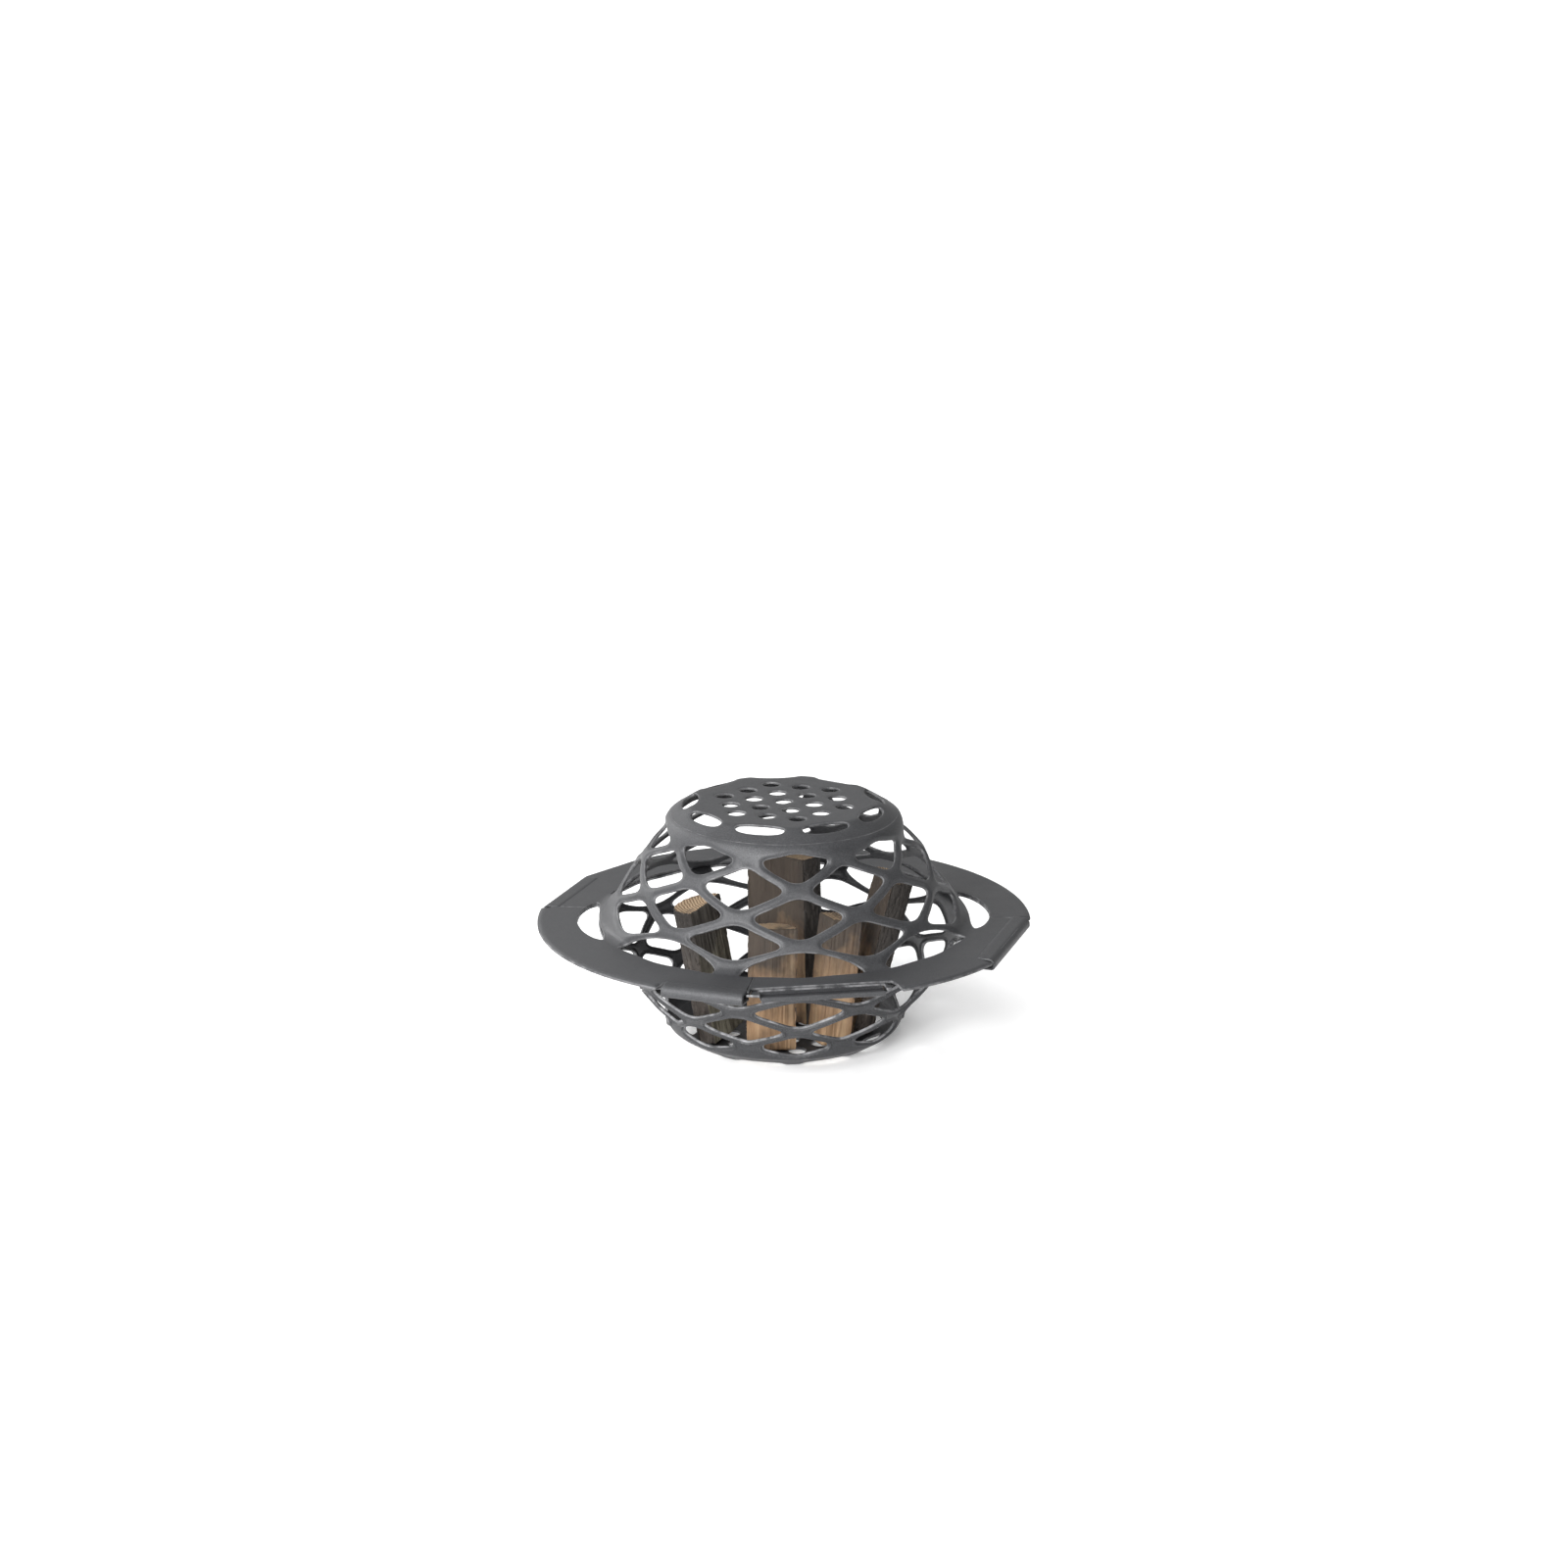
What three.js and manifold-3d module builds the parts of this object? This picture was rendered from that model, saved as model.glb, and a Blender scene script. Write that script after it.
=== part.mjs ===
// Lattice fire basket: two pressed sheet-steel hats, face to face at their brims, around a fire of split logs.
// Millimetres, +Z up. The origin is the centre of the floor plate's underside, on the ground.
// Azimuths are in degrees, 0 at the front (-Y) and growing towards +X, so they turn the way +Z does.
// Each half is made brim down with its joint plane at height 0, and the lower half is mirrored into place.
import * as THREE from "three";
import { mergeVertices } from "three/addons/utils/BufferGeometryUtils.js";
import Module from "manifold-3d";

const wasm = await Module();
wasm.setup();

// ---- Driving dimensions -------------------------------------------------------------------------
const SHEET = 3; // steel sheet thickness
const HALF_HEIGHT = 148; // from the joint plane between the brims to the far face of either end plate
const BRIM_GAP = 0.25; // each brim stands off the joint plane by this much
const BRIM_TOP = BRIM_GAP + SHEET;
const UPPER_RIM_R = 300;
const LOWER_RIM_R = 284; // the lower brim is smaller, so that the upper brim's hems close round it
const BEYOND_RIM_R = 330; // outer radius of the tools that trim the rim
const SEAM_GAP = 0.4; // between neighbouring petals, and between petals and end plates
const PLATE_HEIGHT = 134; // where the end plate takes over from the petals

// Outer face of a half: radius, and height above the joint plane.
const FACE = [
  [UPPER_RIM_R, BRIM_TOP],
  [232, BRIM_TOP],
  [222, 7],
  [207, 30],
  [182, 69],
  [159, 100],
  [148.5, 109],
  [141, 131.5],
  [115, HALF_HEIGHT],
];
const FACETS_ROUND = 32;

// Lattice: eight cells round, each row turned half a cell against the one before.
const CELLS = 8;
const CELL = 360 / CELLS;
const LATTICE_TURN = 5.5; // azimuth of the first column of cells
const STRUT_HALF = 5.5; // half the width of a strut
const CORNER_SHARE = 0.26; // share of a cell's edge that its rounded corner takes
const CORNER_STEPS = 2;
const LEVELS = [82, 108, 141, 175, 214, 229]; // rows of crossings, as distances along the face from the rim
const CELL_CUT = 24; // how far the tool that cuts a cell reaches to each side of the sheet

// Slots between the brim and the lattice, as half angle and distance from the rim.
const SLOT = [[-18.5, 66], [0, 66], [18.5, 66], [18.5, 79], [0, 101], [-18.5, 79]];
const SIDE_SLOT = [[-19, 67], [-15.5, 56.5], [-8.5, 50], [0, 47.5], [8.5, 50], [15.5, 56.5], [19, 67], [0, 73]];
const SIDE_COLUMNS = [2, 6]; // the slots at the two sides reach further out into the brim
const SLOT_CUT = 37; // top of the tool that cuts a slot, above the joint plane

// Petals: each half is four petals, joined on the lattice's columns and at the ends of the hems.
const PETALS = 4;
const PETAL_SPLIT_R = 226; // outside this radius a petal ends at its brim seam, inside it at a lattice column
const LOWER_BRIM_SEAM = -8;

// Hems: flaps of the upper brim, bent down and in under the lower brim along a straight line.
const HEMS = [
  { azimuth: -109.5, half: 12.5 },
  { azimuth: -18.65, half: 9.95 },
  { azimuth: 71.5, half: 16.5 },
  { azimuth: 161, half: 12.5 },
];
const HEM_LIP = 24; // how far the hem's lip reaches in from its bend
const HEM_DEPTH = 10; // underside of the lip, below the joint plane
const HEM_BEND_R = 4.5;
const HEM_ROOT = 20; // how far the flap's root runs back into the brim
const SLIT = 1.2; // cut at each end of a flap
const SLIT_LENGTH = 10;
const SKIN = 0.05; // a joined root lies this far inside the sheet that it runs into
const FLAT_RIM = { azimuth: -131, half: 9 }; // a straight length of rim beside one hem

// The upper half turns this far until the hems stand over the notches of the lower brim.
const TURN_TO_UNLOCK = -26;
const NOTCH_R = 261;
const NOTCH_MARGIN = 3; // degrees of room at each end of a notch

// Finger recess at the front: the upper brim is trimmed back over a dished lip of the lower brim.
const RECESS = { azimuth: 9.5, half: 17.5, line: 259 };
const DISH = { root: 246, from: 256, to: 277, depth: 9.5, lipTop: 3, halfLength: 72 };

// End plates: a grid of round air holes inside a ring of oval ones.
const HOLE_R = 10.75;
const HOLE_SIDES = 10;
const HOLE_PITCH = 38;
const HOLE_GRID_TURN = -18;
const HOLE_GRID_R = 80;
const EYES = 9;
const EYE = { r: 114, halfWidth: 30, halfDepth: 10 }; // across the bend between the flat end and its shoulder

// Split logs, standing on the floor plate: foot, girth, height, lean and the direction it leans in.
const LOGS = [
  { name: "log_left", x: -70, y: -28, r: 36, spread: 200, length: 170, spin: 150, lean: 10, towards: -80 },
  { name: "log_front", x: -16, y: -78, r: 31, spread: 170, length: 150, spin: 85, lean: 5, towards: 170 },
  { name: "log_front_right", x: 48, y: -62, r: 33, spread: 140, length: 158, spin: 60, lean: 6, towards: 120 },
  { name: "log_right", x: 80, y: -2, r: 31, spread: 210, length: 198, spin: 20, lean: 14, towards: 88 },
  { name: "log_back", x: 4, y: 36, r: 46, spread: 240, length: 208, spin: 60, lean: 4, towards: 200 },
];
const LOG_CLEARANCE = 0.4; // between a log's foot and the floor plate

// ---- Materials ----------------------------------------------------------------------------------
const paintedSteel = () => new THREE.MeshStandardMaterial({ color: 0x5b5d62, roughness: 0.55, metalness: 0.6 });
const splitWood = () => new THREE.MeshStandardMaterial({ color: 0x8a6a4a, roughness: 0.9, metalness: 0 });

// ---- Solids, and points on the plan -------------------------------------------------------------
const rad = THREE.MathUtils.degToRad;

function solid(geometry) {
  const bare = geometry.clone();
  bare.deleteAttribute("normal");
  bare.deleteAttribute("uv");
  const merged = mergeVertices(bare, 1e-4);
  return new wasm.Manifold(
    new wasm.Mesh({
      numProp: 3,
      vertProperties: merged.attributes.position.array,
      triVerts: new Uint32Array(merged.index.array),
    }),
  );
}

function meshOf(name, body, material) {
  const { vertProperties, triVerts } = body.getMesh();
  const geometry = new THREE.BufferGeometry();
  geometry.setAttribute("position", new THREE.BufferAttribute(vertProperties, 3));
  geometry.setIndex(new THREE.BufferAttribute(triVerts, 1));
  const mesh = new THREE.Mesh(geometry, material);
  mesh.name = name;
  return mesh;
}

const unionOf = (bodies) => bodies.reduce((all, body) => all.add(body));
const cutBy = (body, tools) => tools.reduce((left, tool) => left.subtract(tool), body);

// The radial and sideways directions at an azimuth.
const outward = (azimuth) => new THREE.Vector3(Math.sin(rad(azimuth)), -Math.cos(rad(azimuth)), 0);
const sideways = (azimuth) => new THREE.Vector3(Math.cos(rad(azimuth)), Math.sin(rad(azimuth)), 0);
const plan = (azimuth, r) => new THREE.Vector2(r * Math.sin(rad(azimuth)), -r * Math.cos(rad(azimuth)));

// An outline in plan as an upright solid between two heights.
function upright(points, z0, z1) {
  const shape = new THREE.Shape(points);
  const depth = z1 - z0;
  return solid(new THREE.ExtrudeGeometry(shape, { depth, bevelEnabled: false }).translate(0, 0, z0));
}

// A round upright solid about the axis between two heights.
function disc(r, z0, z1) {
  const round = new THREE.CylinderGeometry(r, r, z1 - z0, FACETS_ROUND).rotateX(Math.PI / 2);
  return solid(round.translate(0, 0, (z0 + z1) / 2));
}

// A ring sector between two radii and two azimuths, as an outline in plan.
function sector(r0, r1, from, to) {
  const steps = Math.ceil((to - from) / 8);
  const arc = (r) => Array.from({ length: steps + 1 }, (_, i) => plan(from + ((to - from) * i) / steps, r));
  return [...arc(r1), ...(r0 > 0 ? arc(r0).reverse() : [new THREE.Vector2()])];
}

// A profile in (distance outwards, height), run along a straight line across an azimuth.
function straightRun(profile, azimuth, halfLength) {
  const out = outward(azimuth);
  const side = sideways(azimuth);
  const frame = new THREE.Matrix4().makeBasis(out, new THREE.Vector3(0, 0, 1), side.clone().negate());
  frame.setPosition(side.multiplyScalar(halfLength));
  const run = new THREE.ExtrudeGeometry(profile, { depth: 2 * halfLength, bevelEnabled: false, curveSegments: 4 });
  return solid(run.applyMatrix4(frame));
}

// A rectangle in plan, centred on an azimuth, from one distance outwards to another.
function crossBar(azimuth, from, to, halfLength) {
  const corners = [[from, -halfLength], [to, -halfLength], [to, halfLength], [from, halfLength]];
  const out = outward(azimuth);
  const side = sideways(azimuth);
  return corners.map(([u, v]) => new THREE.Vector2(out.x * u + side.x * v, out.y * u + side.y * v));
}

// ---- The pressed sheet --------------------------------------------------------------------------
const face = FACE.map(([r, h]) => new THREE.Vector2(r, h));
const runs = face.slice(1).map((p, i) => p.distanceTo(face[i]));
const starts = runs.map((_, i) => runs.slice(0, i).reduce((sum, run) => sum + run, 0));

// The outer face at a distance from the rim: its radius, its height and the slope's direction there.
function faceAt(s) {
  const i = starts.findLastIndex((start) => start <= s);
  const p = face[i].clone().lerp(face[i + 1], (s - starts[i]) / runs[i]);
  return { r: p.x, h: p.y, slope: face[i + 1].clone().sub(face[i]).normalize() };
}

const inwards = (slope) => new THREE.Vector2(-slope.y, slope.x);

// The inner face: each point of the outer one moved in by the sheet's thickness, mitred at the bends.
function innerFace() {
  return face.map((p, i) => {
    const before = inwards(face[Math.max(i, 1)].clone().sub(face[Math.max(i, 1) - 1]).normalize());
    const j = Math.min(i, face.length - 2);
    const after = inwards(face[j + 1].clone().sub(face[j]).normalize());
    const middle = before.clone().add(after).normalize();
    return p.clone().addScaledVector(middle, SHEET / middle.dot(before));
  });
}

// One half's sheet before any opening is cut: a hat of revolution with a closed crown.
function hat(rimR) {
  const outer = face.slice();
  const inner = innerFace();
  outer[0] = new THREE.Vector2(rimR, BRIM_TOP);
  inner[0] = new THREE.Vector2(rimR, BRIM_GAP);
  inner[inner.length - 1].y = HALF_HEIGHT - SHEET;
  const crown = [new THREE.Vector2(0, HALF_HEIGHT), new THREE.Vector2(0, HALF_HEIGHT - SHEET)];
  const profile = [...outer, ...crown, ...inner.reverse(), outer[0].clone()];
  return solid(new THREE.LatheGeometry(profile, FACETS_ROUND).rotateX(Math.PI / 2));
}

// ---- Lattice cells ------------------------------------------------------------------------------
// A four-cornered outline moved in by a distance on every edge.
function inset(corners, distance) {
  const edges = corners.map((p, i) => {
    const along = corners[(i + 1) % corners.length].clone().sub(p).normalize();
    return { start: p.clone().addScaledVector(inwards(along), distance), along };
  });
  return edges.map(({ start, along }, i) => {
    const before = edges[(i + edges.length - 1) % edges.length];
    const t = start.clone().sub(before.start).cross(along) / before.along.cross(along);
    return before.start.clone().addScaledVector(before.along, t);
  });
}

// The same outline with its corners rounded.
function rounded(corners) {
  const path = new THREE.Path();
  corners.forEach((p, i) => {
    const before = corners[(i + corners.length - 1) % corners.length];
    const after = corners[(i + 1) % corners.length];
    const start = p.clone().lerp(before, CORNER_SHARE);
    const end = p.clone().lerp(after, CORNER_SHARE);
    if (i === 0) path.moveTo(start.x, start.y);
    else path.lineTo(start.x, start.y);
    path.quadraticCurveTo(p.x, p.y, end.x, end.y);
  });
  return path.getPoints(CORNER_STEPS);
}

// A diamond opening at an azimuth between three levels of crossings, cut square to the sheet at its middle.
function cellTool(azimuth, top, middle, bottom) {
  const { r, h, slope } = faceAt(middle);
  const toArc = rad(1) * r;
  const corners = [
    new THREE.Vector2(0, top),
    new THREE.Vector2((CELL / 2) * toArc, middle),
    new THREE.Vector2(0, bottom),
    new THREE.Vector2((-CELL / 2) * toArc, middle),
  ];
  const out = outward(azimuth);
  const across = sideways(azimuth);
  const normal = out.clone().multiplyScalar(slope.y).setZ(-slope.x);
  const upSlope = normal.clone().cross(across);
  const centre = out.clone().multiplyScalar(r).setZ(h);
  const outline = rounded(inset(corners, STRUT_HALF)).map((p) => {
    const at = faceAt(p.y);
    const point = outward(azimuth + p.x / toArc).multiplyScalar(at.r).setZ(at.h).sub(centre);
    return new THREE.Vector2(point.dot(across), point.dot(upSlope));
  });
  const frame = new THREE.Matrix4().makeBasis(across, upSlope, normal);
  frame.setPosition(centre.addScaledVector(normal, -CELL_CUT));
  const cut = new THREE.ExtrudeGeometry(new THREE.Shape(outline), { depth: 2 * CELL_CUT, bevelEnabled: false });
  return solid(cut.applyMatrix4(frame));
}

function slotTool(azimuth, outline) {
  const corners = outline.map(([turn, s]) => plan(azimuth + turn, faceAt(s).r));
  return upright(rounded(corners), -SHEET, SLOT_CUT);
}

function latticeTools() {
  const tools = [];
  for (let column = 0; column < CELLS; column++) {
    const azimuth = LATTICE_TURN + column * CELL;
    tools.push(slotTool(azimuth, SIDE_COLUMNS.includes(column) ? SIDE_SLOT : SLOT));
    for (let row = 0; row + 2 < LEVELS.length; row++) {
      const turned = row % 2 === 0 ? azimuth - CELL / 2 : azimuth;
      tools.push(cellTool(turned, LEVELS[row], LEVELS[row + 1], LEVELS[row + 2]));
    }
  }
  return tools;
}

// ---- Rim features -------------------------------------------------------------------------------
const lineOf = (hem) => UPPER_RIM_R * Math.cos(rad(hem.half));
const halfLengthOf = (hem) => UPPER_RIM_R * Math.sin(rad(hem.half)) - SLIT;

// Trims the rim to a straight line between two azimuths.
function rimTrim(azimuth, half, line) {
  const r = line / Math.cos(rad(half));
  const corners = [plan(azimuth - half, r), plan(azimuth - half, BEYOND_RIM_R)];
  corners.push(plan(azimuth + half, BEYOND_RIM_R), plan(azimuth + half, r));
  return upright(corners, -SHEET, 2 * SHEET);
}

// The C-shaped section of a hem, with its bend at a distance outwards.
function hemSection(line) {
  const top = BRIM_TOP - SKIN;
  const under = BRIM_GAP + SKIN;
  const bend = line - HEM_BEND_R;
  const inside = HEM_BEND_R - SHEET;
  const shape = new THREE.Shape();
  shape.moveTo(line - HEM_ROOT, under);
  shape.lineTo(line - HEM_ROOT, top);
  shape.lineTo(bend, top);
  shape.absarc(bend, top - HEM_BEND_R, HEM_BEND_R, Math.PI / 2, 0, true);
  shape.absarc(bend, HEM_BEND_R - HEM_DEPTH, HEM_BEND_R, 0, -Math.PI / 2, true);
  shape.lineTo(line - HEM_LIP, -HEM_DEPTH);
  shape.lineTo(line - HEM_LIP, SHEET - HEM_DEPTH);
  shape.absarc(bend, SHEET + inside - HEM_DEPTH, inside, -Math.PI / 2, 0, false);
  shape.absarc(bend, under - inside, inside, 0, Math.PI / 2, false);
  return shape;
}

// The dished lip of the lower brim: a step down, a floor and an upturned edge.
function dishSection() {
  const shape = new THREE.Shape();
  shape.moveTo(DISH.root, BRIM_TOP - SKIN);
  shape.lineTo(DISH.root, BRIM_GAP + SKIN);
  shape.lineTo(DISH.from, BRIM_GAP + SKIN);
  shape.lineTo(DISH.from, DISH.depth - SHEET);
  shape.lineTo(DISH.to - SHEET, DISH.depth - SHEET);
  shape.lineTo(DISH.to - SHEET, DISH.lipTop);
  shape.lineTo(DISH.to, DISH.lipTop);
  shape.lineTo(DISH.to, DISH.depth);
  shape.lineTo(DISH.from - SHEET, DISH.depth);
  shape.lineTo(DISH.from - SHEET, BRIM_TOP - SKIN);
  return shape;
}

function upperBrimTools() {
  const flaps = HEMS.map((hem) => {
    const bar = crossBar(hem.azimuth, lineOf(hem) - SLIT_LENGTH, BEYOND_RIM_R, halfLengthOf(hem) + SLIT);
    return upright(bar, -SHEET, 2 * SHEET);
  });
  const flat = rimTrim(FLAT_RIM.azimuth, FLAT_RIM.half, UPPER_RIM_R * Math.cos(rad(FLAT_RIM.half)));
  return [...flaps, flat, rimTrim(RECESS.azimuth, RECESS.half, RECESS.line)];
}

function lowerBrimTools() {
  const notches = HEMS.map(({ azimuth, half }) => {
    const middle = azimuth + TURN_TO_UNLOCK;
    const reach = half + NOTCH_MARGIN;
    return upright(sector(NOTCH_R, BEYOND_RIM_R, middle - reach, middle + reach), -SHEET, 2 * SHEET);
  });
  const dish = crossBar(RECESS.azimuth, DISH.from - SHEET, BEYOND_RIM_R, DISH.halfLength + SLIT);
  return [...notches, upright(dish, -SHEET, 2 * SHEET)];
}

// ---- The two halves -----------------------------------------------------------------------------
const lattice = unionOf(latticeTools());

const SEAM_TURN = THREE.MathUtils.radToDeg(SEAM_GAP / PETAL_SPLIT_R); // half a seam's gap, as an azimuth
const wedge = ([from, to]) => sector(0, BEYOND_RIM_R, from + SEAM_TURN, to - SEAM_TURN);

// The region of one petal: its stretch of brim and its stretch of lattice, bridged where both run together.
function petalRegion(brim, wall) {
  const gap = SEAM_GAP / 2;
  const outer = upright(wedge(brim), -SHEET, 2 * SHEET);
  const inner = upright(wedge(wall), -SHEET, PLATE_HEIGHT - gap);
  const both = [Math.max(brim[0], wall[0]) + SEAM_TURN, Math.min(brim[1], wall[1]) - SEAM_TURN];
  const bridge = upright(sector(PETAL_SPLIT_R - SHEET, PETAL_SPLIT_R + SHEET, ...both), -SHEET, 3 * SHEET);
  const ring = outer.subtract(disc(PETAL_SPLIT_R + gap, -HALF_HEIGHT, HALF_HEIGHT));
  return ring.add(inner.intersect(disc(PETAL_SPLIT_R - gap, -HALF_HEIGHT, HALF_HEIGHT))).add(bridge);
}

// The four petals of one half: a hat with its openings, cut along the seams.
function petals(prefix, rimR, brimTools, brimSeams, extras) {
  const pressed = cutBy(hat(rimR).subtract(lattice), brimTools);
  return brimSeams.map((seam, i) => {
    const from = brimSeams[(i + PETALS - 1) % PETALS] - (i === 0 ? 360 : 0);
    const wallEnd = LATTICE_TURN + (i - 1) * (360 / PETALS);
    const region = petalRegion([from, seam], [wallEnd - 360 / PETALS, wallEnd]);
    const stretch = upright(wedge([from, seam]), -HALF_HEIGHT, HALF_HEIGHT);
    const formed = extras[i].map((extra) => extra.intersect(stretch));
    const petal = unionOf([pressed.intersect(region), ...formed]);
    return meshOf(`${prefix}_petal_${i + 1}`, petal, paintedSteel());
  });
}

function endPlate(name) {
  const tools = [];
  const reach = Math.ceil(HOLE_GRID_R / HOLE_PITCH) + 1;
  for (let i = -reach; i <= reach; i++) {
    for (let j = -reach; j <= reach; j++) {
      const at = new THREE.Vector2(i + j / 2, (j * Math.sqrt(3)) / 2).multiplyScalar(HOLE_PITCH);
      if (at.length() > HOLE_GRID_R) continue;
      at.rotateAround(new THREE.Vector2(), rad(HOLE_GRID_TURN));
      const hole = new THREE.EllipseCurve(at.x, at.y, HOLE_R, HOLE_R).getPoints(HOLE_SIDES).slice(0, -1);
      tools.push(upright(hole, PLATE_HEIGHT, HALF_HEIGHT + SHEET));
    }
  }
  for (let i = 0; i < EYES; i++) {
    const azimuth = LATTICE_TURN + ((i + 0.5) * 360) / EYES;
    const at = plan(azimuth, EYE.r);
    const eye = new THREE.EllipseCurve(at.x, at.y, EYE.halfWidth, EYE.halfDepth, 0, 2 * Math.PI, false, rad(azimuth));
    tools.push(upright(eye.getPoints(HOLE_SIDES).slice(0, -1), PLATE_HEIGHT - SHEET, HALF_HEIGHT + SHEET));
  }
  const crown = hat(UPPER_RIM_R).subtract(disc(BEYOND_RIM_R, -HALF_HEIGHT, PLATE_HEIGHT + SEAM_GAP / 2));
  return meshOf(name, cutBy(crown, tools), paintedSteel());
}

function upperHalf() {
  const half = new THREE.Group();
  const hems = HEMS.map((hem) => [straightRun(hemSection(lineOf(hem)), hem.azimuth, halfLengthOf(hem))]);
  const seams = HEMS.map((hem) => hem.azimuth + hem.half);
  half.add(...petals("upper", UPPER_RIM_R, upperBrimTools(), seams, hems), endPlate("crown_plate"));
  half.position.z = HALF_HEIGHT;
  return half;
}

function lowerHalf() {
  const half = new THREE.Group();
  const seams = HEMS.map((_, i) => LOWER_BRIM_SEAM + (i - 1) * (360 / PETALS));
  const dish = straightRun(dishSection(), RECESS.azimuth, DISH.halfLength);
  const extras = seams.map((_, i) => (i === 2 ? [dish] : []));
  half.add(...petals("lower", LOWER_RIM_R, lowerBrimTools(), seams, extras), endPlate("floor_plate"));
  half.scale.z = -1;
  half.position.z = HALF_HEIGHT;
  return half;
}

// ---- Logs ---------------------------------------------------------------------------------------
// A split log standing on its sawn end: a round of wood with a wedge split away.
function log({ name, x, y, r, spread, length, spin, lean, towards }) {
  const outline = new THREE.Shape();
  outline.moveTo(-r / 4, 0);
  outline.absarc(0, 0, r, rad(-spread / 2), rad(spread / 2), false);
  const wooden = new THREE.ExtrudeGeometry(outline, { depth: length, bevelEnabled: false, curveSegments: 7 });
  wooden.rotateZ(rad(spin));
  wooden.applyMatrix4(new THREE.Matrix4().makeRotationAxis(sideways(towards).negate(), rad(-lean)));
  wooden.computeBoundingBox();
  const mesh = meshOf(name, solid(wooden), splitWood());
  mesh.position.set(x, y, SHEET + LOG_CLEARANCE - wooden.boundingBox.min.z);
  return mesh;
}

const fireBasket = new THREE.Group();
fireBasket.name = "lattice_fire_basket";
fireBasket.add(upperHalf(), lowerHalf(), ...LOGS.map(log));

export default fireBasket;
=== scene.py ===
"""Looks of a lattice fire basket: two pressed steel hats brim to brim, round a stack of split logs.

Millimetres in the tables below, metres in Blender. +Z is up and -Y is the front.
Azimuths are in degrees, 0 at the front and growing towards +X. A point of the pressed sheet is
given by its azimuth and by its distance along the outer face from the rim.
"""

import math

import bpy
import numpy as np
from mathutils import Matrix, Vector, noise


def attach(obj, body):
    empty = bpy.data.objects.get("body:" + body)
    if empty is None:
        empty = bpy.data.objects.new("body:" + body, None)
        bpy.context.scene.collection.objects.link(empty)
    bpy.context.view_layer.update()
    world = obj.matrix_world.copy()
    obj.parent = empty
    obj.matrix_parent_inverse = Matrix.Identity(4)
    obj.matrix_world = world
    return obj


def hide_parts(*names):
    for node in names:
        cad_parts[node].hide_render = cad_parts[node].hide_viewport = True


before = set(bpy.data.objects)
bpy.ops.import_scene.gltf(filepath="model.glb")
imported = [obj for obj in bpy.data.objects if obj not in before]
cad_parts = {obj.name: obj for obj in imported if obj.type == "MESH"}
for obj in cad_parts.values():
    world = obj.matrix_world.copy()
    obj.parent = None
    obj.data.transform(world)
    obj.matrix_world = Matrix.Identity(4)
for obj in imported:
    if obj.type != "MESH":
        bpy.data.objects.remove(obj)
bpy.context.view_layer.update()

# ---- Dimensions ---------------------------------------------------------------------------------
MM = 0.001
SHEET = 3.0
HALF_HEIGHT = 148.0
BRIM_GAP = 0.25
BRIM_TOP = BRIM_GAP + SHEET
UPPER_RIM_R = 300.0
LOWER_RIM_R = 284.0

# Outer face of a half: radius, and height above the joint plane.
FACE = [
    (300, BRIM_TOP), (232, BRIM_TOP), (222, 7), (207, 30), (197, 43.5), (182, 69), (170, 88),
    (159, 100), (148.5, 109), (146, 122), (141, 131.5), (115, 148), (0, 148),
]
PLATE_HEIGHT = 134  # where the end plate takes over from the petals
BEND_SOFTNESS = 2.6  # how gently the face turns at a bend

COLUMNS = 1440  # steps of the sheet's grid round the axis
ROW = 1.3  # steps of the sheet's grid along the face
FAR = 60.0  # no distance from an edge is counted beyond this
RISING_LENGTH = 280  # along this much of the face, from the rim, the height never falls

# Lattice: eight cells round, each row turned half a cell against the one before.
CELLS = 8
CELL = 360 / CELLS
COLUMN_REACH = 27  # the openings of one column lie within this angle of it
LATTICE_TURN = 5.5  # azimuth of the first column of cells
STRUT_HALF = 5.5  # half the width of a strut
CORNER_SHARE = 0.26  # share of a cell's edge that its rounded corner takes
LEVELS = [82, 108, 141, 175, 214, 229]  # rows of crossings, as distances along the face from the rim

# Slots between the brim and the lattice, as half angle and distance from the rim.
SLOT = [(-18.5, 66), (0, 66), (18.5, 66), (18.5, 79), (0, 101), (-18.5, 79)]
SIDE_SLOT = [(-19, 67), (-15.5, 56.5), (-8.5, 50), (0, 47.5), (8.5, 50), (15.5, 56.5), (19, 67), (0, 73)]
SIDE_COLUMNS = (2, 6)  # the slots at the two sides reach further out into the brim
SIDE_CORNER_SHARE = 0.42

PETAL_SPLIT_R = 226.0  # outside this radius a petal ends at its brim seam, inside it at a lattice column
SEAM_STOP = 8  # a brim seam's edge stands back until this close to the split
LOWER_BRIM_SEAM = -8.0
HEMS = [(-109.5, 12.5), (-18.65, 9.95), (71.5, 16.5), (161, 12.5)]  # azimuth and half angle
HEM_LIP = 24.0
HEM_DEPTH = 10.0
HEM_BEND_R = 4.5
HEM_FOLD_R = 6.5  # the rounder bend at the top of the fold
HEM_END_GAP = 2.6  # the folded strip stops this far from each end of its chord
HEM_BLEND = 1.5  # half the length over which the strip rises from the brim
HEM_RISE = 0.8  # the folded strip stands this much proud of the brim
HEM_ROOT = 21.0  # and starts this far in from the fold
HEM_SLIT = 19.0  # the relief slit at each end of a hem runs this far in from the rim
HEM_SLIT_HALF = 3.2  # its half width at the rim, from where it narrows to a point
FLAT_RIM = (-131, 9)  # azimuth and half angle of a straight length of rim
TURN_TO_UNLOCK = -26.0  # the hems stand over the lower brim's notches after this turn
NOTCH_R = 261.0
NOTCH_MARGIN = 3.0
RECESS = (9.5, 17.5, 259.0)  # azimuth, half angle, and the line that the upper brim is trimmed to

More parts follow.
